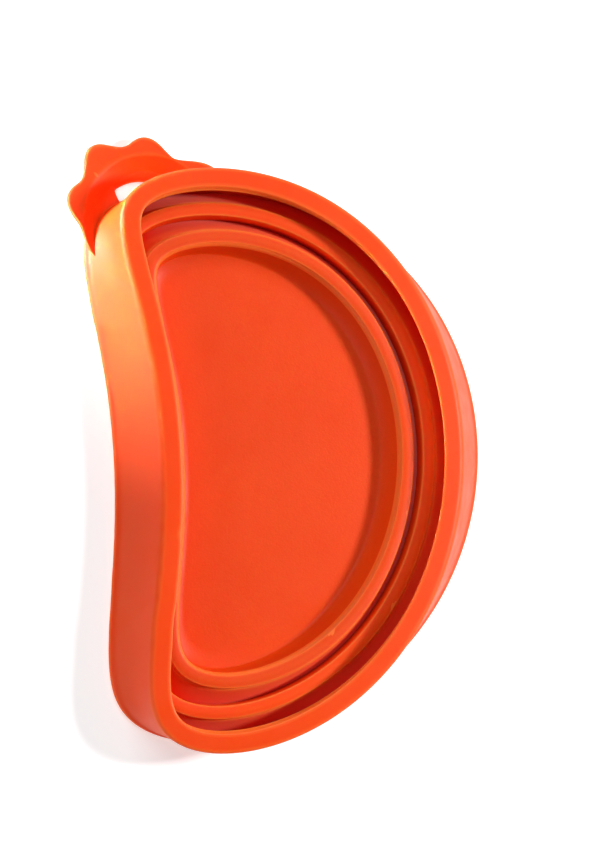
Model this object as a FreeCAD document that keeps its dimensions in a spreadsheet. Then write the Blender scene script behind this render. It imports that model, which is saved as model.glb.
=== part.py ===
import FreeCAD, Part
import math
import os

# Collapsible silicone travel bowl, folded flat and squeezed out of round.
# +Z is up, the origin is on the underside of the foot, and all sizes are millimetres.
# Every stage of the bowl is a closed loop of a fixed length: squeezing bends it, but
# never stretches it.  A squeeze of 0 gives the round, relaxed bowl.

SIZES = [
    ("squeeze", 1.0, "0 is round, 1 is squeezed as held"),
    ("bowl_diameter", 125.0, "round diameter of the rim at its lip"),
    ("lip_narrowing", 0.523, "squeezed half width over half length, lip"),
    ("lip_dent", 0.232, "depth of the thumb dent over half length, lip"),
    ("hem_flare", 5.0, "how much wider the round hem is than the lip"),
    ("hem_narrowing", 0.678, "squeezed half width over half length, hem"),
    ("hem_dent", 0.257, "depth of the thumb dent over half length, hem"),
    ("hem_shift", -1.5, "sideways shift of the squeezed hem"),
    ("middle_gap", 4.2, "round gap from the rim wall to the middle ring"),
    ("middle_narrowing", 0.556, "squeezed half width over half length, middle"),
    ("middle_dent", 0.233, "depth of the thumb dent over half length, middle"),
    ("middle_shift", -1.6, "sideways shift of the squeezed middle ring"),
    ("base_gap", 3.4, "round gap from the middle ring to the base ring"),
    ("base_narrowing", 0.54, "squeezed half width over half length, base"),
    ("base_dent", 0.225, "depth of the thumb dent over half length, base"),
    ("end_fullness", 0.044, "how square the squeezed ends are"),
    ("end_skew", 0.080, "how far the bulge leans to one end"),
    ("end_sway", 0.024, "how far both flanks slide along the length"),
    ("rim_height", 15.0, "height of the folded bowl"),
    ("lip_width", 5.2, "width of the lip's top face"),
    ("lip_depth", 2.8, "height of the thick lip"),
    ("wall", 1.8, "thickness of the rim wall"),
    ("hem_bottom", 0.5, "height of the hem and the tab above the floor"),
    ("hem_height", 1.4, "height of the hem bead"),
    ("hem_proud", 0.5, "how far the hem bead stands out"),
    ("middle_height", 9.0, "top of the middle ring, folded"),
    ("middle_bottom", 1.0, "bottom of the middle ring, folded"),
    ("base_height", 8.6, "top of the base ring"),
    ("crest_width", 3.4, "width of the top face of each inner ring"),
    ("crest_depth", 1.0, "thickness of the crest over the web"),
    ("draft", 3.8, "how far the base ring's inner wall slopes in"),
    ("web", 0.8, "thickness of the folding webs"),
    ("web_gap", 0.2, "space between a web and the wall it hinges to"),
    ("foot_height", 0.8, "height of the foot pad"),
    ("foot_inset", 5.0, "how far the foot pad is set in"),
    ("floor", 1.6, "thickness of the base floor"),
    ("tab_turn", 92.5, "where along the rim the tab sits, loop degrees"),
    ("tab_inset", 7.0, "tab centre inside the rim's outer face"),
    ("tab_top", 4.0, "top face of the hanging tab"),
    ("tab_thickness", 2.0, "thickness of the scalloped flange"),
    ("tab_axis", 126.0, "direction the middle lobe points in, degrees"),
    ("flange_width", 0.5, "flange outside the collar, between lobes"),
    ("middle_lobe", 6.2, "how far the middle lobe stands out"),
    ("side_lobe", 4.1, "how far each side lobe stands out"),
    ("lobe_pitch", 36.0, "angle from one lobe to the next, degrees"),
    ("lobe_spread", 27.0, "half angle of one lobe, degrees"),
    ("root_flare", 5.2, "how far the flange widens where it meets the rim"),
    ("root_turn", 95.0, "angle from the middle lobe to that root, degrees"),
    ("root_spread", 35.0, "half angle of that root, degrees"),
    ("collar_radius", 16.9, "radius of the crest round the bevel"),
    ("bevel_depth", 2.6, "height of the bevel inside the crest"),
    ("bevel_shift", 2.1, "how far the bevel's lower edge is off the tab centre"),
    ("bevel_turn", 90.0, "direction the bevel's lower edge is shifted, degrees"),
    ("slot_radius", 11.0, "radius of the carabiner slot's outer side"),
    ("slot_lean", 3.9, "how far the slot's outer side leans in"),
    ("slot_turn", 240.0, "direction the slot's outer side leans, degrees"),
    ("slot_reach", 9.9, "tab centre to the middle of the slot's end arc"),
    ("slot_reach_turn", 85.0, "direction of the slot's end arc, degrees"),
    ("slot_end_radius", 9.0, "radius of the slot's end arc"),
]

LOOP_POINTS = 72
TAB_POINTS = 120
STEP = 1e-4

doc = FreeCAD.newDocument("travel_bowl")
sheet = doc.addObject("Spreadsheet::Sheet", "sizes")


def write_row(row, alias, value, note):
    """Write one size with its alias and note."""
    sheet.set(f"A{row}", alias)
    sheet.set(f"B{row}", str(value))
    sheet.set(f"C{row}", note)
    sheet.setAlias(f"B{row}", alias)


def fill_sheet():
    """Write every driving size, then the tab centre that follows from them."""
    for row, (alias, value, note) in enumerate(SIZES, start=1):
        write_row(row, alias, value, note)
    doc.recompute()
    centre = inset_point("rim", math.radians(size("tab_turn")), size("tab_inset"), size("tab_top"))
    write_row(len(SIZES) + 1, "tab_x", centre.x, "tab centre, from the rim")
    write_row(len(SIZES) + 2, "tab_y", centre.y, "tab centre, from the rim")
    doc.recompute()


def size(alias):
    """Read one driving size from the sheet."""
    return float(sheet.get(alias))


def bind(item, **places):
    """Bind an object's properties to expressions of the sheet."""
    for prop, expression in places.items():
        item.setExpression(prop.replace("__", "."), expression)


# ---------------------------------------------------------------- squeezed loops

def bare_shape(stage, angle):
    """Point of a stage's unscaled outline: a circle that the squeeze turns to a bean."""
    squeeze = size("squeeze")
    narrow = 1 - (1 - size(stage + "_narrowing")) * squeeze
    dent = size(stage + "_dent") * squeeze
    x = narrow * math.cos(angle) + dent * math.cos(2 * angle)
    y = math.sin(angle)
    y += size("end_fullness") * squeeze * math.sin(3 * angle)
    y += size("end_skew") * squeeze * math.sin(2 * angle)
    y += size("end_sway") * squeeze * math.cos(2 * angle)
    return FreeCAD.Vector(x, y, 0)


def round_diameter(stage):
    """Outer diameter of a stage when the bowl is round."""
    middle = size("bowl_diameter") - 2 * size("wall") - 2 * size("middle_gap")
    diameters = {
        "lip": size("bowl_diameter"),
        "hem": size("bowl_diameter") + size("hem_flare"),
        "middle": middle,
        "base": middle - 2 * size("crest_width") - 2 * size("base_gap"),
    }
    return diameters[stage]


def loop_scale(stage):
    """Scale that gives the squeezed loop the length of the round one."""
    steps = [2 * math.pi * i / 720 for i in range(721)]
    points = [bare_shape(stage, angle) for angle in steps]
    length = sum((b - a).Length for a, b in zip(points, points[1:]))
    return math.pi * round_diameter(stage) / length


SHIFTED = ("hem", "middle")
scales = {}


def stage_point(stage, angle, height):
    """Point on a stage's outer face.  The rim leans from its hem to its lip."""
    if stage == "rim":
        share = height / size("rim_height")
        low = stage_point("hem", angle, height)
        high = stage_point("lip", angle, height)
        return low * (1 - share) + high * share
    if stage not in scales:
        scales[stage] = loop_scale(stage)
    point = bare_shape(stage, angle) * scales[stage]
    if stage in SHIFTED:
        point.x += size(stage + "_shift") * size("squeeze")
    point.z = height
    return point


def inset_point(stage, angle, inset, height):
    """Point set in from a stage's outer face by inset, square to the outline."""
    here = stage_point(stage, angle, height)
    ahead = stage_point(stage, angle + STEP, height)
    back = stage_point(stage, angle - STEP, height)
    along = (ahead - back).normalize()
    outward = FreeCAD.Vector(along.y, -along.x, 0)
    result = here - outward * inset
    result.z = height
    return result


def closed_curve(name, points):
    """Smooth closed curve through points, as a document object."""
    curve = Part.BSplineCurve()
    curve.interpolate(Points=points, PeriodicFlag=True)
    item = doc.addObject("Part::Feature", name)
    item.Shape = Part.Wire(curve.toShape())
    return item


def loop(stage, inset, height):
    """Closed smooth outline of a stage at one height, as a document object."""
    angles = [2 * math.pi * i / LOOP_POINTS for i in range(LOOP_POINTS)]
    points = [inset_point(stage, angle, inset, height) for angle in angles]
    return closed_curve(stage + "_loop", points)


def skin(name, low, high):
    """Solid with straight sides between two closed curves."""
    item = doc.addObject("Part::Loft", name)
    item.Sections = [low, high]
    item.Solid = True
    item.Ruled = True
    return item


def loft(name, low, high):
    """Solid with straight sides between two loops, each (stage, inset, height)."""
    return skin(name, loop(*low), loop(*high))


def ring(name, outer_low, outer_high, inner_low, inner_high):
    """Band between an outer and an inner loft."""
    item = doc.addObject("Part::Cut", name)
    item.Base = loft(name + "_outer", outer_low, outer_high)
    item.Tool = loft(name + "_inner", inner_low, inner_high)
    return item


def join(label, *pieces):
    """Fuse pieces into one labelled sub-part."""
    item = doc.addObject("Part::MultiFuse", label)
    item.Shapes = list(pieces)
    item.Refine = False
    return item


def cut(label, base, tool):
    """Cut one piece with another."""
    item = doc.addObject("Part::Cut", label)
    item.Base = base
    item.Tool = tool
    return item


# ---------------------------------------------------------------- rim

def make_rim_hem():
    bottom = size("hem_bottom")
    top = bottom + size("hem_height")
    proud = -size("hem_proud")
    wall = size("wall")
    return ring("rim_hem", ("rim", proud, bottom), ("rim", proud, top),
                ("rim", wall, bottom), ("rim", wall, top))


def make_rim_wall():
    bottom = size("hem_bottom") + size("hem_height")
    top = size("rim_height") - size("lip_depth")
    wall = size("wall")
    return ring("rim_wall", ("rim", 0, bottom), ("rim", 0, top),
                ("rim", wall, bottom), ("rim", wall, top))


def make_rim_lip():
    bottom = size("rim_height") - size("lip_depth")
    top = size("rim_height")
    width = size("lip_width")
    return ring("rim_lip", ("rim", 0, bottom), ("rim", 0, top),
                ("rim", width, bottom), ("rim", width, top))


# ---------------------------------------------------------------- middle ring and webs

def make_middle_ring():
    top = size("middle_height")
    under = top - size("crest_depth")
    bottom = size("middle_bottom")
    width = size("crest_width")
    web = size("web")
    crest = ring("middle_crest", ("middle", 0, under), ("middle", 0, top),
                 ("middle", width, under), ("middle", width, top))
    wall = ring("middle_wall", ("middle", web, bottom), ("middle", web, under),
                ("middle", width, bottom), ("middle", width, under))
    return join("middle_ring", crest, wall)


def make_outer_web():
    top = size("middle_height") - size("crest_depth")
    bottom = size("middle_bottom")
    clear = size("wall") + size("web_gap")
    web = size("web")
    return ring("outer_web", ("rim", clear, bottom), ("middle", 0, top),
                ("rim", clear + web, bottom), ("middle", web, top))


def make_inner_web():
    top = size("base_height") - size("crest_depth")
    bottom = size("middle_bottom")
    clear = size("crest_width") + size("web_gap")
    web = size("web")
    return ring("inner_web", ("middle", clear, bottom), ("base", 0, top),
                ("middle", clear + web, bottom), ("base", web, top))


# ---------------------------------------------------------------- base

def floor_top():
    return size("foot_height") + size("floor")


def make_base_ring():
    top = size("base_height")
    under = top - size("crest_depth")
    bottom = floor_top()
    width = size("crest_width")
    slope = size("draft") * (top - under) / (top - bottom)
    web = size("web")
    crest = ring("base_crest", ("base", 0, under), ("base", 0, top),
                 ("base", width + slope, under), ("base", width, top))
    wall = ring("base_wall", ("base", web, bottom), ("base", web, under),
                ("base", width + size("draft"), bottom), ("base", width + slope, under))
    return join("base_ring", crest, wall)


def make_base_floor():
    web = size("web")
    return loft("base_floor", ("base", web, size("foot_height")), ("base", web, floor_top()))


def make_foot_pad():
    inset = size("foot_inset")
    return loft("foot_pad", ("base", inset, 0), ("base", inset, size("foot_height")))


# ---------------------------------------------------------------- hanging tab

TAB_BOTTOM = "sizes.hem_bottom"
BEVEL_FOOT = "sizes.tab_top - sizes.bevel_depth"


def placed(item, x, y, z, **more):
    """Bind an object's place and sizes, with x and y measured from the tab centre."""
    bind(item, Placement__Base__x="sizes.tab_x + " + x, Placement__Base__y="sizes.tab_y + " + y,
         Placement__Base__z=z, **more)
    return item


def offset(distance, direction):
    """Expressions for a step of some distance in some direction, in degrees."""
    return (f"{distance} * cos({direction} * 1 deg)", f"{distance} * sin({direction} * 1 deg)")


def cylinder(name, radius, bottom, top, x="0", y="0"):
    """Upright cylinder beside the tab centre."""
    item = doc.addObject("Part::Cylinder", name)
    return placed(item, x, y, bottom, Radius=radius, Height=f"{top} - {bottom}")


def circle(name, radius, x, y, z):
    """Flat circle beside the tab centre."""
    return placed(doc.addObject("Part::Circle", name), x, y, z, Radius=radius)


def rim_core():
    """The lower rim filled in, which the tab is trimmed to."""
    return join("rim_core", doc.getObject("rim_hem_outer"), doc.getObject("rim_wall_outer"))


def bump(turn, middle, spread):
    """Smooth swelling that is 1 at its middle and 0 beyond its spread."""
    away = abs(turn - middle)
    return math.cos(math.pi * away / (2 * spread)) ** 2 if away < spread else 0.0


def flange_radius(turn):
    """Reach of the scalloped flange at some angle from its middle lobe, in degrees."""
    pitch = size("lobe_pitch")
    spread = size("lobe_spread")
    reach = size("collar_radius") + size("flange_width")
    reach += size("middle_lobe") * bump(turn, 0, spread)
    reach += size("side_lobe") * (bump(turn, pitch, spread) + bump(turn, -pitch, spread))
    return reach + size("root_flare") * bump(turn, -size("root_turn"), size("root_spread"))


def flange_outline(height):
    """Closed outline of the scalloped flange."""
    points = []
    for index in range(TAB_POINTS):
        turn = 360 * (index / TAB_POINTS - 0.5)
        angle = math.radians(size("tab_axis") + turn)
        reach = flange_radius(turn)
        points.append(FreeCAD.Vector(size("tab_x") + reach * math.cos(angle),
                                     size("tab_y") + reach * math.sin(angle), height))
    return closed_curve("flange_outline", points)


def make_hang_tab():
    top = size("tab_top")
    blank = skin("tab_blank", flange_outline(top - size("tab_thickness")), flange_outline(top))
    hole = cylinder("tab_hole", "sizes.collar_radius", "0", "sizes.rim_height")
    return cut("hang_tab", cut("tab_plate", blank, hole), rim_core())


def make_slot_cutter(bevel_edge):
    """Leaning crescent that a carabiner passes through."""
    shift_x, shift_y = offset("sizes.bevel_shift", "sizes.bevel_turn")
    lean_x, lean_y = offset("sizes.slot_lean", "sizes.slot_turn")
    low = circle("slot_low", "sizes.slot_radius", f"{shift_x} + {lean_x}",
                 f"{shift_y} + {lean_y}", TAB_BOTTOM)
    end = cylinder("slot_end", "sizes.slot_end_radius", "0", "sizes.rim_height",
                   *offset("sizes.slot_reach", "sizes.slot_reach_turn"))
    cutter = doc.addObject("Part::Common", "slot_cutter")
    cutter.Base = skin("slot_skin", low, bevel_edge)
    cutter.Tool = end
    return cutter


def make_tab_collar():
    body = cylinder("collar_body", "sizes.collar_radius", TAB_BOTTOM, "sizes.tab_top")
    bevel_edge = circle("bevel_edge", "sizes.slot_radius",
                        *offset("sizes.bevel_shift", "sizes.bevel_turn"), BEVEL_FOOT)
    crest = circle("crest_edge", "sizes.collar_radius", "0", "0", "sizes.tab_top")
    bevelled = cut("collar_bevelled", body, skin("bevel_cutter", bevel_edge, crest))
    open_body = cut("collar_open", bevelled, make_slot_cutter(bevel_edge))
    return cut("tab_collar", open_body, rim_core())


# ---------------------------------------------------------------- checks and export

def check_document():
    """Stop if any object failed to build."""
    for item in doc.Objects:
        if "Invalid" in item.State or "Error" in item.State:
            raise RuntimeError(f"{item.Label} did not build: {item.State}")


def export(parts):
    """Check each sub-part and write it to its own file."""
    os.makedirs("parts", exist_ok=True)
    for item in parts:
        shape = item.Shape
        if shape.isNull() or not shape.isValid() or not shape.Solids:
            raise RuntimeError(f"{item.Label} has no valid solid")
        box = shape.BoundBox
        print(f"{item.Label}: {len(shape.Solids)} solid, volume {shape.Volume:.0f},"
              f" x {box.XMin:.1f}..{box.XMax:.1f} y {box.YMin:.1f}..{box.YMax:.1f}"
              f" z {box.ZMin:.1f}..{box.ZMax:.1f}")
        shape.exportStep(f"parts/{item.Label}.step")


fill_sheet()
sub_parts = [
    make_foot_pad(),
    make_base_floor(),
    make_base_ring(),
    make_inner_web(),
    make_middle_ring(),
    make_outer_web(),
    make_rim_hem(),
    make_rim_wall(),
    make_rim_lip(),
    make_hang_tab(),
    make_tab_collar(),
]
doc.recompute()
check_document()
export(sub_parts)
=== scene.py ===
import bmesh
import bpy
import math
from mathutils import Matrix, Vector


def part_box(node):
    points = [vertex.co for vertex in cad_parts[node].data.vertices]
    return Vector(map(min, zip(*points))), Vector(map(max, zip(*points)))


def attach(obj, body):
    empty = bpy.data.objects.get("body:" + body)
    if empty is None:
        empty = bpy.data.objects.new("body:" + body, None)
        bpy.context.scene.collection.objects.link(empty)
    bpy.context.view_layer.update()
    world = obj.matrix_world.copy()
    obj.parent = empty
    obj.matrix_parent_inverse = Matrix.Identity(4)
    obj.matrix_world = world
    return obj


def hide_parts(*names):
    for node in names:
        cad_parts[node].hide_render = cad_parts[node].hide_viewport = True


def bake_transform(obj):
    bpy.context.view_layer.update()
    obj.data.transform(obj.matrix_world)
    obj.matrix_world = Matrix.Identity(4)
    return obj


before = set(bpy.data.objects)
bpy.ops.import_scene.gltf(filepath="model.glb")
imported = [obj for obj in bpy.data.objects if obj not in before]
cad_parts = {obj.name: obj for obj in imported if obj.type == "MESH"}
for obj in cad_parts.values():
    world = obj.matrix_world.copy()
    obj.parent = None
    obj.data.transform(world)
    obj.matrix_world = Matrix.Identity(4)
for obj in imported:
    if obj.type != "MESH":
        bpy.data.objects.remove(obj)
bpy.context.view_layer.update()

MM = 0.001
AROUND = 420              # points along every closed outline
FINE_AROUND = 3600        # directions used to measure along an outline
LEVEL_SNAP = 0.02 * MM    # how close to a height a vertex counts as on it
MERGE_WITHIN = 1e-7       # doubled points of a CAD mesh are this close
SHARP = math.radians(25)  # an edge this sharp is an edge of the moulding
LEAST_TURN = 1e-9         # stands in for an angle step of nothing
GAP_STRIDE = 30           # every how many points a gap is measured

EDGE_ROUND = 0.55 * MM    # radius of the lip's crisp edges
OUTER_ROUND = 1.0 * MM    # radius of the lip's outer edge
CREST_ROUND = 0.45 * MM   # radius of the inner rings' crisp edges
CROWN = 0.12 * MM         # how far a top face swells
ROUND_STEPS = 4           # points on each rounded edge
TOP_STEPS = 6             # parts of a top face
SIDE_STEPS = 8            # parts of an inner side


# ------------------------------------------------------------------ outlines from the frame

def merged_mesh(node):
    """A working copy of a CAD node's mesh with its doubled points merged."""
    bm = bmesh.new()
    bm.from_mesh(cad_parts[node].data)
    bmesh.ops.remove_doubles(bm, verts=bm.verts, dist=MERGE_WITHIN)
    return bm


def walk(start, links):
    """Points of the closed loop of edges that starts at one vertex."""
    points, seen, here = [], set(), start
    while here not in seen:
        seen.add(here)
        points.append(here.co.copy())
        ahead = [v for v in links[here] if v not in seen]
        here = ahead[0] if ahead else start
    return points, seen


def closed_loops(node, height):
    """The sharp outlines of a node at one height, longest first."""
    bm = merged_mesh(node)
    links = {}
    for edge in bm.edges:
        level = all(abs(v.co.z - height) < LEVEL_SNAP for v in edge.verts)
        if level and len(edge.link_faces) == 2 and edge.calc_face_angle(0) > SHARP:
            first, second = edge.verts
            links.setdefault(first, []).append(second)
            links.setdefault(second, []).append(first)
    loops, used = [], set()
    for vertex in links:
        if vertex not in used:
            points, seen = walk(vertex, links)
            used |= seen
            loops.append(points)
    bm.free()
    return sorted(loops, key=loop_length, reverse=True)


def loop_length(points):
    """Length of a closed loop of points."""
    return sum((b - a).length for a, b in zip(points, points[1:] + points[:1]))


floor_low, floor_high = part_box("base_floor")
CENTRE = (floor_low + floor_high) / 2
CENTRE.z = 0


def polar(points):
    """An outline as sorted (angle, radius) pairs round the middle of the base."""
    pairs = []
    for point in points:
        x, y = point.x - CENTRE.x, point.y - CENTRE.y
        pairs.append((math.atan2(y, x) % math.tau, math.hypot(x, y)))
    pairs.sort()
    first, last = pairs[0], pairs[-1]
    return [(last[0] - math.tau, last[1])] + pairs + [(first[0] + math.tau, first[1])]


def radius_at(pairs, angle):
    """Radius of an outline in one direction."""
    angle %= math.tau
    low_index, high_index = 0, len(pairs) - 1
    while high_index - low_index > 1:
        middle = (low_index + high_index) // 2
        if pairs[middle][0] <= angle:
            low_index = middle
        else:
            high_index = middle
    (a0, r0), (a1, r1) = pairs[low_index], pairs[high_index]
    share = (angle - a0) / max(a1 - a0, LEAST_TURN)
    return r0 + (r1 - r0) * share


def even_directions(points):
    """Directions from the base's middle to evenly spaced points of an outline."""
    pairs = polar(points)
    fine = [math.tau * i / FINE_AROUND for i in range(FINE_AROUND + 1)]
    places = [Vector((radius_at(pairs, a) * math.cos(a), radius_at(pairs, a) * math.sin(a)))
              for a in fine]
    runs = [0.0]
    for a, b in zip(places, places[1:]):
        runs.append(runs[-1] + (b - a).length)
    directions, index = [], 0
    for step in range(AROUND):
        target = runs[-1] * step / AROUND
        while runs[index + 1] < target:
            index += 1
        share = (target - runs[index]) / (runs[index + 1] - runs[index])
        directions.append(fine[index] + (fine[index + 1] - fine[index]) * share)
    return directions


LIP_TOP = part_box("rim_lip")[1].z
DIRECTIONS = even_directions(closed_loops("rim_lip", LIP_TOP)[0])


def smooth(values, rounds=2):
    """Average each number or point with its neighbours round the loop."""
    for _ in range(rounds):
        values = [(values[i - 1] + 2 * values[i] + values[(i + 1) % len(values)]) / 4
                  for i in range(len(values))]
    return values


def outline(node, height, inner=False):
    """Smooth closed outline of a node at one height, one point per direction."""
    points = closed_loops(node, height)[1 if inner else 0]
    pairs = polar(points)
    radii = smooth([radius_at(pairs, angle) for angle in DIRECTIONS])
    return [Vector((CENTRE.x + r * math.cos(a), CENTRE.y + r * math.sin(a), 0))
            for a, r in zip(DIRECTIONS, radii)]


def inset(points, distance):
    """Outline moved in by a distance, square to itself."""
    result = []
    for i, point in enumerate(points):
        along = points[(i + 1) % len(points)] - points[i - 1]
        inward = Vector((-along.y, along.x, 0)).normalized()
        result.append(point + inward * distance)
    return result


def mix(first, second, share):
    """Outline part of the way from one to another."""
    return [a.lerp(b, share) for a, b in zip(first, second)]


def gap(first, second):
    """Typical distance between two outlines."""
    shortest = [min((a - b).length for b in second) for a in first[::GAP_STRIDE]]
    return sorted(shortest)[len(shortest) // 2]


# ------------------------------------------------------------------ sections and rings

def corner(centre_in, centre_z, radius, start, end, steps=ROUND_STEPS):
    """Arc of a section, as (inset, height) pairs.  Angle 0 points out, 90 points up."""
    pairs = []
    for step in range(steps + 1):
        angle = math.radians(start + (end - start) * step / steps)
        pairs.append((centre_in - radius * math.cos(angle), centre_z + radius * math.sin(angle)))
    return pairs


def between(start, end, steps, swell=0.0):
    """Evenly spaced points between two section points, ends left out, swollen upward."""
    pairs = []
    for step in range(1, steps):
        share = step / steps
        height = start[1] + (end[1] - start[1]) * share
        pairs.append((start[0] + (end[0] - start[0]) * share,
                      height + swell * math.sin(math.pi * share)))
    return pairs


def new_object(name, bm):
    """Turn a bmesh into a smooth-shaded object of the scene."""
    mesh = bpy.data.meshes.new(name)
    bmesh.ops.recalc_face_normals(bm, faces=bm.faces)
    bm.to_mesh(mesh)
    bm.free()
    for polygon in mesh.polygons:
        polygon.use_smooth = True
    obj = bpy.data.objects.new(name, mesh)
    bpy.context.scene.collection.objects.link(obj)
    return obj


def join_rows(bm, first, second):
    """Faces between two closed rows of vertices."""
    for i in range(len(first)):
        ahead = (i + 1) % len(first)
        bm.faces.new((first[i], first[ahead], second[ahead], second[i]))


def sweep_section(name, section, surface, closed=True, caps=()):
    """Carry a section round the bowl.  surface(inset, height) gives an outline."""
    bm = bmesh.new()
    rows = []
    for distance, height in section:
        points = surface(distance, height)
        rows.append([bm.verts.new((p.x, p.y, height)) for p in points])
    pairs = list(zip(rows, rows[1:]))
    if closed:
        pairs.append((rows[-1], rows[0]))
    for first, second in pairs:
        join_rows(bm, first, second)
    for cap in caps:
        fill_cap(bm, rows[cap])
    return new_object(name, bm)


def fill_cap(bm, row, rings=5, shrink=0.08):
    """Close a row with a few shrinking copies of itself and one flat face."""
    middle = sum((v.co for v in row), Vector()) / len(row)
    last = row
    for ring in range(1, rings + 1):
        fresh = [bm.verts.new(middle + (v.co - middle) * (1 - ring * shrink)) for v in row]
        join_rows(bm, last, fresh)
        last = fresh
    bm.faces.new(last)


# ------------------------------------------------------------------ the rim

HEM_LOW, HEM_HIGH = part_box("rim_hem")[0].z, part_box("rim_hem")[1].z
LIP_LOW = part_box("rim_lip")[0].z
lip_line = outline("rim_lip", LIP_TOP)
wall_foot_line = outline("rim_wall", HEM_HIGH)
WALL = gap(wall_foot_line, outline("rim_wall", HEM_HIGH, inner=True))
LIP_WIDTH = gap(lip_line, outline("rim_lip", LIP_TOP, inner=True))
HEM_PROUD = gap(outline("rim_hem", HEM_HIGH), wall_foot_line)
BEAD_TURN = 55            # degrees up the hem's bead at which the wall starts
BEAD_STEPS = 6
WALL_START = 0.35 * MM    # the wall's first point above the hem
WALL_STEPS = 12
OUTER_STEPS = 8           # points on the lip's outer edge
LIP_BEVEL = 0.6 * MM      # slope where the lip's underside meets the wall
FOOT_BEVEL = 0.3 * MM     # slope at the foot of a wall or ring


def rim_surface(distance, height):
    """Outline inside the leaning rim wall, at any height."""
    share = (height - HEM_HIGH) / (LIP_TOP - HEM_HIGH)
    return inset(mix(wall_foot_line, lip_line, share), distance)


def make_rim_shell():
    """Hem bead, tall wall and thick lip as the single skin they are moulded in."""
    r = EDGE_ROUND
    bead = (HEM_HIGH - HEM_LOW) / 2
    wall_start = (0.0, HEM_HIGH + WALL_START)
    under_lip = (WALL, LIP_LOW - LIP_BEVEL)
    inner_foot = (WALL, HEM_LOW + FOOT_BEVEL)
    section = corner(bead - HEM_PROUD, HEM_LOW + bead, bead, -90, BEAD_TURN, BEAD_STEPS)
    section += [wall_start]
    section += between(wall_start, (0.0, LIP_TOP - OUTER_ROUND), WALL_STEPS)
    section += corner(OUTER_ROUND, LIP_TOP - OUTER_ROUND, OUTER_ROUND, 0, 90, OUTER_STEPS)
    section += between((OUTER_ROUND, LIP_TOP), (LIP_WIDTH - r, LIP_TOP), TOP_STEPS)
    section += corner(LIP_WIDTH - r, LIP_TOP - r, r, 90, 180)
    section += [(LIP_WIDTH, LIP_LOW + r)]
    section += corner(LIP_WIDTH - r, LIP_LOW + r, r, 180, 270)
    section += [(WALL + LIP_BEVEL, LIP_LOW), under_lip]
    section += between(under_lip, inner_foot, SIDE_STEPS)
    section += [inner_foot, (WALL - FOOT_BEVEL, HEM_LOW)]
    rim = sweep_section("rim_shell", section, rim_surface)
    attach(rim, "rim")
    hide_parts("rim_hem", "rim_wall", "rim_lip")
    return rim


# ------------------------------------------------------------------ inner stages

MIDDLE_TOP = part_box("middle_ring")[1].z
MIDDLE_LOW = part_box("middle_ring")[0].z
BASE_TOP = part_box("base_ring")[1].z
FLOOR_LOW, FLOOR_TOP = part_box("base_floor")[0].z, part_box("base_floor")[1].z
OUTER_WEB_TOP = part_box("outer_web")[1].z
INNER_WEB_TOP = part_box("inner_web")[1].z

middle_line = outline("middle_ring", MIDDLE_TOP)
base_line = outline("base_ring", BASE_TOP)
CREST_WIDTH = gap(middle_line, outline("middle_ring", MIDDLE_TOP, inner=True))
WEB = gap(middle_line, outline("middle_ring", MIDDLE_LOW))  # room for a web under a crest
FLOOR_INSET = gap(base_line, outline("base_ring", FLOOR_TOP, inner=True))
UNDER_SHARE = 0.3         # where a crest's flat underside ends, as a share of the room
UNDER_BEVEL = 0.25 * MM   # slope from there up to the crest's outer side
FLOOR_BEVEL = 0.4 * MM    # slope round the underside of the base
PAD_BEVEL = 0.2 * MM      # slope round the foot pad
PAD_FLARE = 0.3 * MM      # how far the pad spreads where it meets the base
LEDGE = 0.5 * MM          # how far in from the crest the slope's upper end is
SHOULDER_DROP = 1.1 * MM  # depth of the slope's upper end below the crest
SLOPE_SAG = 0.5 * MM      # how hollow the slope is
SLOPE_STEPS = 10
TOE = ((-0.3 * MM, 0.45 * MM), (0.1 * MM, 0.12 * MM), (0.6 * MM, 0.0))  # slope into floor
LEAST_SLOPE = 0.12        # share of the slope kept beside the dent
SLOPE_SPREAD = 1.25       # over 1, the full slope starts before the far side


def middle_surface(distance, height):
    """Outline inside the middle ring, the same at every height."""
    return inset(middle_line, distance)


base_low = min(p.x for p in base_line)
base_high = max(p.x for p in base_line)


def slope_share(point):
    """How far the inner wall slopes in: steep by the thumb dent, gentle at the bulge."""
    across = (point.x - base_low) / (base_high - base_low)
    share = min(max(across * SLOPE_SPREAD, 0.0), 1.0)
    return LEAST_SLOPE + (1 - LEAST_SLOPE) * share * share * (3 - 2 * share)


def base_surface(distance, height):
    """Outline inside the base ring; below the crest the inner wall slopes by its share."""
    if distance <= CREST_WIDTH + LEDGE or height <= FLOOR_LOW + FLOOR_BEVEL:
        return inset(base_line, distance)
    straight_in = inset(base_line, CREST_WIDTH + LEDGE)
    full = inset(base_line, distance)
    return [a.lerp(b, slope_share(a)) for a, b in zip(straight_in, full)]


def crest(top, under):
    """Outer shoulder, crowned top face and inner edge of an inner ring."""
    r = CREST_ROUND
    section = [(WEB, under), (WEB * UNDER_SHARE, under), (0.0, under + UNDER_BEVEL)]
    section += corner(r, top - r, r, 0, 90)
    section += between((r, top), (CREST_WIDTH - r, top), TOP_STEPS, CROWN)
    section += corner(CREST_WIDTH - r, top - r, r, 90, 180)
    return section


def make_middle_ring():
    """Second stage of the bowl, with its folding crest."""
    section = crest(MIDDLE_TOP, OUTER_WEB_TOP)
    inner_top = (CREST_WIDTH, MIDDLE_TOP - CREST_ROUND)
    section += between(inner_top, (CREST_WIDTH, MIDDLE_LOW), SIDE_STEPS)
    section += [(CREST_WIDTH, MIDDLE_LOW + FOOT_BEVEL), (CREST_WIDTH - FOOT_BEVEL, MIDDLE_LOW)]
    section += [(WEB + FOOT_BEVEL, MIDDLE_LOW), (WEB, MIDDLE_LOW + FOOT_BEVEL)]
    ring = sweep_section("middle_stage", section, middle_surface)
    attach(ring, "middle")
    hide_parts("middle_ring")
    return ring


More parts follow.
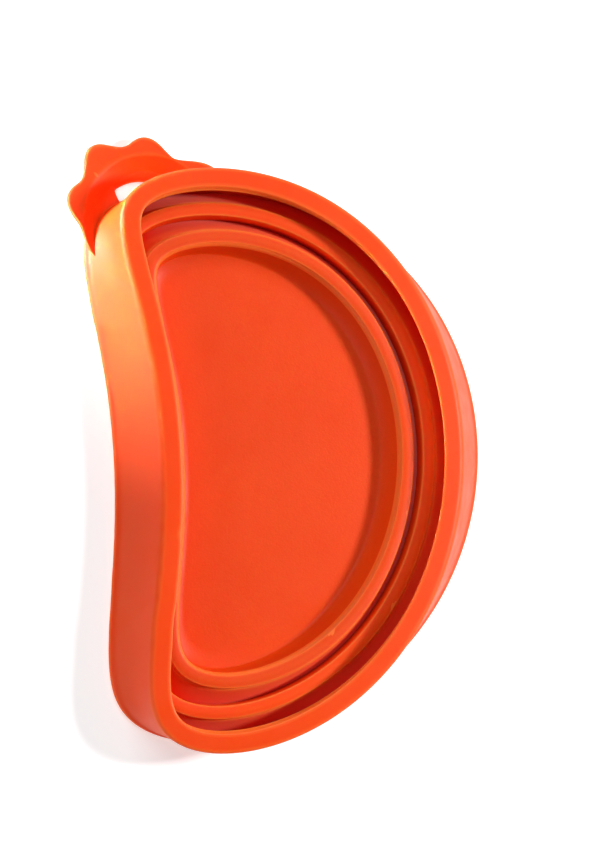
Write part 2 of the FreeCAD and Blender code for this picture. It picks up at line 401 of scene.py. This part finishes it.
def make_base_bowl():
    """Innermost stage: ring, sloping inner wall, floor and foot pad in one skin."""
    foot_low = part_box("foot_pad")[0].z
    pad = gap(base_line, outline("foot_pad", foot_low))
    side_foot = (WEB, FLOOR_LOW + FLOOR_BEVEL)
    shoulder = (CREST_WIDTH + LEDGE, BASE_TOP - SHOULDER_DROP)
    toe = [(FLOOR_INSET + across, FLOOR_TOP + up) for across, up in TOE]
    section = [(pad, foot_low), (pad - PAD_BEVEL, foot_low + PAD_BEVEL)]
    section += [(pad - PAD_FLARE, FLOOR_LOW), (WEB + FLOOR_BEVEL, FLOOR_LOW), side_foot]
    section += between(side_foot, (WEB, INNER_WEB_TOP), SIDE_STEPS)
    section += crest(BASE_TOP, INNER_WEB_TOP)
    section += [(CREST_WIDTH, BASE_TOP - CREST_ROUND), shoulder]
    section += between(shoulder, toe[0], SLOPE_STEPS, -SLOPE_SAG)
    section += toe
    bowl = sweep_section("base_bowl", section, base_surface, closed=False, caps=(0, -1))
    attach(bowl, "base")
    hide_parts("base_ring", "base_floor", "foot_pad")
    return bowl


# ------------------------------------------------------------------ folding webs

WEB_STEPS = 12
WEB_BOW = 0.35 * MM       # how far a web bulges outward
WEB_SHARE = 0.9           # part of its room that a web's thickness fills
WEB_ROOT = 1.0 * MM       # how deep a web's lower edge is buried in the stage round it
OUTER_WEB_LIFT = 0.5 * MM  # lower edge of the outer web above the hem's foot
INNER_WEB_LIFT = 0.2 * MM  # lower edge of the inner web above the middle ring's foot


def make_web(name, cad_node, upper_line, lower_line, top, low_height):
    """Thin hinge web: its top lies along the inner stage, its bottom along the outer one."""
    skins = []
    for side in (0.0, WEB * WEB_SHARE):
        for step in range(WEB_STEPS + 1):
            share = step / WEB_STEPS
            bow = WEB_BOW * math.sin(math.pi * share)
            line = inset(mix(upper_line, lower_line, share), side - bow)
            skins.append((line, top + (low_height - top) * share))
    front, back = skins[:WEB_STEPS + 1], skins[WEB_STEPS + 1:]
    bm = bmesh.new()
    rows = []
    for line, height in front + back[::-1]:
        rows.append([bm.verts.new((p.x, p.y, height)) for p in line])
    for first, second in zip(rows, rows[1:] + rows[:1]):
        join_rows(bm, first, second)
    web = new_object(name, bm)
    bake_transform(web)
    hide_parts(cad_node)
    return web


def make_webs():
    """The outer and inner hinge webs, each rooted inside the stage round it."""
    wall_side = inset(wall_foot_line, WALL - WEB_ROOT)
    ring_side = inset(middle_line, CREST_WIDTH - WEB_ROOT)
    outer = make_web("outer_fold_web", "outer_web", middle_line, wall_side, OUTER_WEB_TOP,
                     HEM_LOW + OUTER_WEB_LIFT)
    inner = make_web("inner_fold_web", "inner_web", base_line, ring_side, INNER_WEB_TOP,
                     MIDDLE_LOW + INNER_WEB_LIFT)
    return outer, inner


# ------------------------------------------------------------------ hanging tab

TAB_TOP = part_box("hang_tab")[1].z
FLANGE_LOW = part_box("hang_tab")[0].z
TAB_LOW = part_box("tab_collar")[0].z
BEVEL_DEPTH = 2.6 * MM    # depth of the bevel round the slot
COLLAR = 16.9 * MM        # radius of the collar's round crest
SLOT = 11.0 * MM          # radius of the slot's outer side
BEVEL_SHIFT = Vector((0, 2.1 * MM))
SLOT_SHIFT = Vector((-1.95 * MM, -1.28 * MM))
SLOT_END = Vector((0.86 * MM, 9.86 * MM))
SLOT_END_RADIUS = 9.0 * MM
LEAST_REACH = 3.0 * MM    # the slot's end arc is taken at least this far out
LEDGE_DROP = 0.02 * MM    # fall of the ledge between the bevel and the slot wall
FLANGE_WIDTH = 0.5 * MM   # least width of the flange outside the collar
TAB_AXIS = 126.0          # direction in degrees in which the tab points
TAB_ANGLES = 540          # sections round the tab
TAB_COUNTS = (7, 12, 18, 3, 8, 10, 6, 14)  # points on each side of a section
TAB_SMOOTHING = 5
RIM_STRIDE = 2            # every how many points of the rim the tab is measured against
LOBE_PITCH = 36
LOBE_SPREAD = 27
MIDDLE_LOBE = 6.2 * MM
SIDE_LOBE = 4.1 * MM
ROOT_LOBE = 5.2 * MM
ROOT_TURN = -95
ROOT_SPREAD = 35
# each lobe's turn from the tab's axis, height and spread
LOBES = ((0, MIDDLE_LOBE, LOBE_SPREAD), (LOBE_PITCH, SIDE_LOBE, LOBE_SPREAD),
         (-LOBE_PITCH, SIDE_LOBE, LOBE_SPREAD), (ROOT_TURN, ROOT_LOBE, ROOT_SPREAD))


def collar_centre():
    """Middle of the collar's round crest, from its outermost points."""
    points = [v.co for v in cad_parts["tab_collar"].data.vertices]
    left = min(p.x for p in points)
    high = max(p.y for p in points)
    return Vector((left + COLLAR, high - COLLAR))


def reach_of_circle(middle, radius, angle):
    """Where a ray from the tab centre leaves a circle, or 0 if it misses it."""
    along = middle.x * math.cos(angle) + middle.y * math.sin(angle)
    across = middle.length_squared - along * along
    if across > radius * radius:
        return 0.0
    return max(along + math.sqrt(radius * radius - across), 0.0)


def flange_reach(angle):
    """Scalloped outline of the flange."""
    turn = (math.degrees(angle) - TAB_AXIS + 180) % 360 - 180
    reach = COLLAR + FLANGE_WIDTH
    for middle, height, spread in LOBES:
        away = abs(turn - middle)
        if away < spread:
            reach += height * math.cos(math.pi * away / (2 * spread)) ** 2
    return reach


def even_profile(profile, counts):
    """Rounded section with a fixed number of points on each of its sides."""
    points = []
    for a, b, count in zip(profile, profile[1:] + profile[:1], counts):
        points += [a.lerp(b, i / count) for i in range(count)]
    return smooth(points, TAB_SMOOTHING)


def tab_section(angle):
    """Section of the tab in one direction: flange, crest, bevel and slot wall."""
    out = flange_reach(angle)
    edge = reach_of_circle(BEVEL_SHIFT, SLOT, angle)
    end = max(reach_of_circle(SLOT_END, SLOT_END_RADIUS, angle), LEAST_REACH)
    inner = min(reach_of_circle(SLOT_SHIFT, SLOT, angle), end)
    ledge = min(edge, end)
    foot = TAB_TOP - BEVEL_DEPTH
    return [Vector((out, FLANGE_LOW)), Vector((out, TAB_TOP)), Vector((COLLAR, TAB_TOP)),
            Vector((edge, foot)), Vector((ledge, foot - LEDGE_DROP)), Vector((inner, TAB_LOW)),
            Vector((COLLAR, TAB_LOW)), Vector((COLLAR, FLANGE_LOW))]


def depth_in_rim(point, height):
    """How far a point is inside the rim's outer face, and the way out."""
    share = (height - HEM_HIGH) / (LIP_TOP - HEM_HIGH)
    best, way, depth = math.inf, None, 0.0
    for i in range(0, AROUND, RIM_STRIDE):
        here = wall_foot_line[i].lerp(lip_line[i], share)
        away = (here.xy - point).length_squared
        if away < best:
            j = (i + RIM_STRIDE) % AROUND
            ahead = wall_foot_line[j].lerp(lip_line[j], share)
            along = (ahead - here).xy.normalized()
            best, way = away, Vector((along.y, -along.x))
            depth = (here.xy - point).dot(way)
    return depth, way


def make_tab():
    """Scalloped hanging tab with its bevelled carabiner slot, grown out of the rim."""
    centre = collar_centre()
    bm = bmesh.new()
    columns = []
    for step in range(TAB_ANGLES):
        angle = math.tau * step / TAB_ANGLES
        column = []
        for r, z in even_profile(tab_section(angle), TAB_COUNTS):
            point = centre + Vector((r * math.cos(angle), r * math.sin(angle)))
            depth, way = depth_in_rim(point, z)
            if depth > WALL / 2:
                point = point + way * (depth - WALL / 2)
            column.append(bm.verts.new((point.x, point.y, z)))
        columns.append(column)
    for first, second in zip(columns, columns[1:] + columns[:1]):
        join_rows(bm, first, second)
    tab = new_object("hanging_tab", bm)
    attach(tab, "rim")
    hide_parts("hang_tab", "tab_collar")
    return tab


# ------------------------------------------------------------------ materials

IOR = 1.41                # refraction of silicone rubber
SPECULAR = 0.32
SUBSURFACE = 0.55
SUBSURFACE_RADIUS = (1.0, 0.10, 0.02)
SUBSURFACE_SCALE = 2.4 * MM
SHEEN_ROUGHNESS = 0.4
DRIFT_SCALE = 38.0        # slow colour change over the moulding
GRAIN_SCALE = 2300.0      # fine grain of the mould's surface
SCUFF_SCALE = 170.0       # patches of handling wear
GRAIN_DEPTH = 0.10 * MM
GRAIN_SHARE = 0.9         # part of a material's grain that shows as colour
GRAIN_RANGE = (0.35, 0.65)
SCUFF_RANGE = (0.3, 0.7)
SCUFF_SMOOTHER = 0.05
SCUFF_ROUGHER = 0.07
# painted highlight: sharp convex edges, found by pointiness, are turned pale in place of their
# specular glint
EDGE_HIGHLIGHT_RANGE = (0.503, 0.53)
EDGE_HIGHLIGHT_SHARE = 0.8          # how far a sharp edge turns pale


def node_tree(material):
    """A material's node tree, emptied."""
    material.use_nodes = True
    tree = material.node_tree
    tree.nodes.clear()
    return tree


def add(tree, kind, **inputs):
    """Add a shader node and set its inputs by name."""
    node = tree.nodes.new(kind)
    for key, value in inputs.items():
        node.inputs[key.replace("_", " ")].default_value = value
    return node


def mixed(tree, factor, first, second):
    """Colour mixed between two values or sockets."""
    mixer = tree.nodes.new("ShaderNodeMix")
    mixer.data_type = "RGBA"
    for socket, value in ((mixer.inputs["A"], first), (mixer.inputs["B"], second)):
        if isinstance(value, tuple):
            socket.default_value = (*value, 1)
        else:
            tree.links.new(value, socket)
    tree.links.new(factor, mixer.inputs["Factor"])
    return mixer.outputs["Result"]


def ranged(tree, value, span, to_low, to_high):
    """Value mapped from one range to another."""
    mapper = tree.nodes.new("ShaderNodeMapRange")
    for name, number in (("From Min", span[0]), ("From Max", span[1]),
                         ("To Min", to_low), ("To Max", to_high)):
        mapper.inputs[name].default_value = number
    tree.links.new(value, mapper.inputs["Value"])
    return mapper.outputs["Result"]


def silicone(name, colour, shade, roughness, grain, sheen):
    """Satin moulded silicone: colour drift, fine grain, a painted highlight on sharp edges, faint
    scuffs.
    """
    material = bpy.data.materials.new(name)
    tree = node_tree(material)
    out = tree.nodes.new("ShaderNodeOutputMaterial")
    shader = tree.nodes.new("ShaderNodeBsdfPrincipled")
    for socket, value in (("IOR", IOR), ("Specular IOR Level", SPECULAR),
                          ("Subsurface Weight", SUBSURFACE),
                          ("Subsurface Radius", SUBSURFACE_RADIUS),
                          ("Subsurface Scale", SUBSURFACE_SCALE),
                          ("Sheen Weight", sheen), ("Sheen Roughness", SHEEN_ROUGHNESS)):
        shader.inputs[socket].default_value = value
    place = tree.nodes.new("ShaderNodeTexCoord")
    drift = add(tree, "ShaderNodeTexNoise", Scale=DRIFT_SCALE, Detail=3.0)
    fine = add(tree, "ShaderNodeTexNoise", Scale=GRAIN_SCALE, Detail=2.0)
    scuff = add(tree, "ShaderNodeTexNoise", Scale=SCUFF_SCALE, Detail=5.0)
    for texture in (drift, fine, scuff):
        tree.links.new(place.outputs["Object"], texture.inputs["Vector"])
    drifting = mixed(tree, drift.outputs["Fac"], shade, colour)
    speckle = ranged(tree, fine.outputs["Fac"], GRAIN_RANGE, 0.0, grain * GRAIN_SHARE)
    grained_colour = mixed(tree, speckle, drifting, shade)
    edges = tree.nodes.new("ShaderNodeNewGeometry")
    # painted highlight: pale colour laid on sharp convex edges in place of their glint
    painted_highlight = ranged(tree, edges.outputs["Pointiness"], EDGE_HIGHLIGHT_RANGE, 0.0, EDGE_HIGHLIGHT_SHARE)
    tree.links.new(mixed(tree, painted_highlight, grained_colour, PAINTED_EDGE_HIGHLIGHT), shader.inputs["Base Color"])
    patchy = ranged(tree, scuff.outputs["Fac"], SCUFF_RANGE, roughness - SCUFF_SMOOTHER,
                    roughness + SCUFF_ROUGHER)
    tree.links.new(patchy, shader.inputs["Roughness"])
    bump = add(tree, "ShaderNodeBump", Strength=grain, Distance=GRAIN_DEPTH)
    tree.links.new(fine.outputs["Fac"], bump.inputs["Height"])
    tree.links.new(bump.outputs["Normal"], shader.inputs["Normal"])
    tree.links.new(shader.outputs["BSDF"], out.inputs["Surface"])
    return material


def paint(obj, material):
    """Give a piece its material."""
    obj.data.materials.append(material)


# ------------------------------------------------------------------ stage

FLOOR_SIZE = 3.0          # half the width of the floor
FLOOR_CELLS = 8
FLOOR_COLOUR = (0.9, 0.9, 0.9, 1)
FLOOR_GLOW = 0.45
WHITE = (1, 1, 1, 1)
SKY_GLOW = 0.10


def make_floor():
    """Plain pale floor that the bowl lies on."""
    bm = bmesh.new()
    bmesh.ops.create_grid(bm, x_segments=FLOOR_CELLS, y_segments=FLOOR_CELLS, size=FLOOR_SIZE)
    floor = new_object("floor", bm)
    material = bpy.data.materials.new("pale_floor")
    tree = node_tree(material)
    out = tree.nodes.new("ShaderNodeOutputMaterial")
    shader = add(tree, "ShaderNodeBsdfPrincipled", Roughness=0.9)
    shader.inputs["Base Color"].default_value = FLOOR_COLOUR
    shader.inputs["Emission Color"].default_value = WHITE
    shader.inputs["Emission Strength"].default_value = FLOOR_GLOW
    tree.links.new(shader.outputs["BSDF"], out.inputs["Surface"])
    floor.data.materials.append(material)


def soft_light(name, place, aim, width, height, power):
    """Rectangular soft box aimed at a point."""
    data = bpy.data.lights.new(name, "AREA")
    data.shape = "RECTANGLE"
    data.size = width
    data.size_y = height
    data.energy = power
    light = bpy.data.objects.new(name, data)
    light.location = place
    light.rotation_euler = (Vector(aim) - Vector(place)).to_track_quat("-Z", "Y").to_euler()
    bpy.context.scene.collection.objects.link(light)
    return light


def make_lights():
    """Small key from the right, broad top light, narrow glow on the wall beside the dent
    and a soft fill from the left."""
    middle = (0.01, 0, 0.01)
    soft_light("key", place=(0.60, 0.02, 0.50), aim=middle, width=0.10, height=0.10, power=6.0)
    soft_light("top", place=(-0.15, 0.60, 0.75), aim=middle, width=0.7, height=0.5, power=3.6)
    side = soft_light("side", place=(-0.26, 0.14, 0.018), aim=(-0.034, 0.048, 0.006),
                      width=0.04, height=0.02, power=0.04)
    side.data.spread = math.radians(16)
    soft_light("left", place=(-0.6, -0.25, 0.35), aim=middle, width=0.4, height=0.3, power=1.2)
    world = bpy.data.worlds.new("studio")
    world.use_nodes = True
    background = world.node_tree.nodes["Background"]
    background.inputs["Color"].default_value = WHITE
    background.inputs["Strength"].default_value = SKY_GLOW
    bpy.context.scene.world = world
    bpy.context.scene.view_settings.view_transform = "Standard"


CAMERA_DISTANCE = 0.4543
CAMERA_TILT_LEFT = math.radians(14.75)
CAMERA_TILT_UP = math.radians(-4.74)
CAMERA_ROLL = math.radians(2.87)
CAMERA_OFFSET = Vector((-0.0147, -0.00617, 0))
FOCAL_LENGTH = 75.5
SENSOR_WIDTH = 36.0


def make_camera():
    """Looks down on the folded bowl, a little from its dented side."""
    data = bpy.data.cameras.new("camera")
    data.lens = FOCAL_LENGTH
    data.sensor_width = SENSOR_WIDTH
    camera = bpy.data.objects.new("camera", data)
    turn = (Matrix.Rotation(CAMERA_ROLL, 4, "Z") @ Matrix.Rotation(CAMERA_TILT_LEFT, 4, "Y")
            @ Matrix.Rotation(CAMERA_TILT_UP, 4, "X"))
    back_off = Matrix.Translation(Vector((0, 0, CAMERA_DISTANCE)) - CAMERA_OFFSET)
    camera.matrix_world = Matrix.Translation((0, 0, LIP_TOP / 2)) @ turn.transposed() @ back_off
    bpy.context.scene.collection.objects.link(camera)
    bpy.context.scene.camera = camera


# ------------------------------------------------------------------ build

ORANGE = (0.92, 0.076, 0.0010)
DEEP_ORANGE = (0.84, 0.056, 0.0006)
DULL_ORANGE = (0.84, 0.074, 0.0015)
DULL_DEEP = (0.74, 0.052, 0.0010)
# colour of the painted highlight on sharp edges
PAINTED_EDGE_HIGHLIGHT = (0.98, 0.19, 0.03)
satin = silicone("satin_silicone", ORANGE, DEEP_ORANGE, roughness=0.46, grain=0.22, sheen=0.0)
grained = silicone("grained_silicone", DULL_ORANGE, DULL_DEEP, roughness=0.48, grain=0.45, sheen=0.0)
matte = silicone("web_silicone", DULL_ORANGE, DULL_DEEP, roughness=0.60, grain=0.35, sheen=0.25)

make_camera()
make_floor()
make_lights()
for piece in (make_rim_shell(), make_tab(), make_middle_ring()):
    paint(piece, satin)
paint(make_base_bowl(), grained)
for piece in make_webs():
    paint(piece, matte)
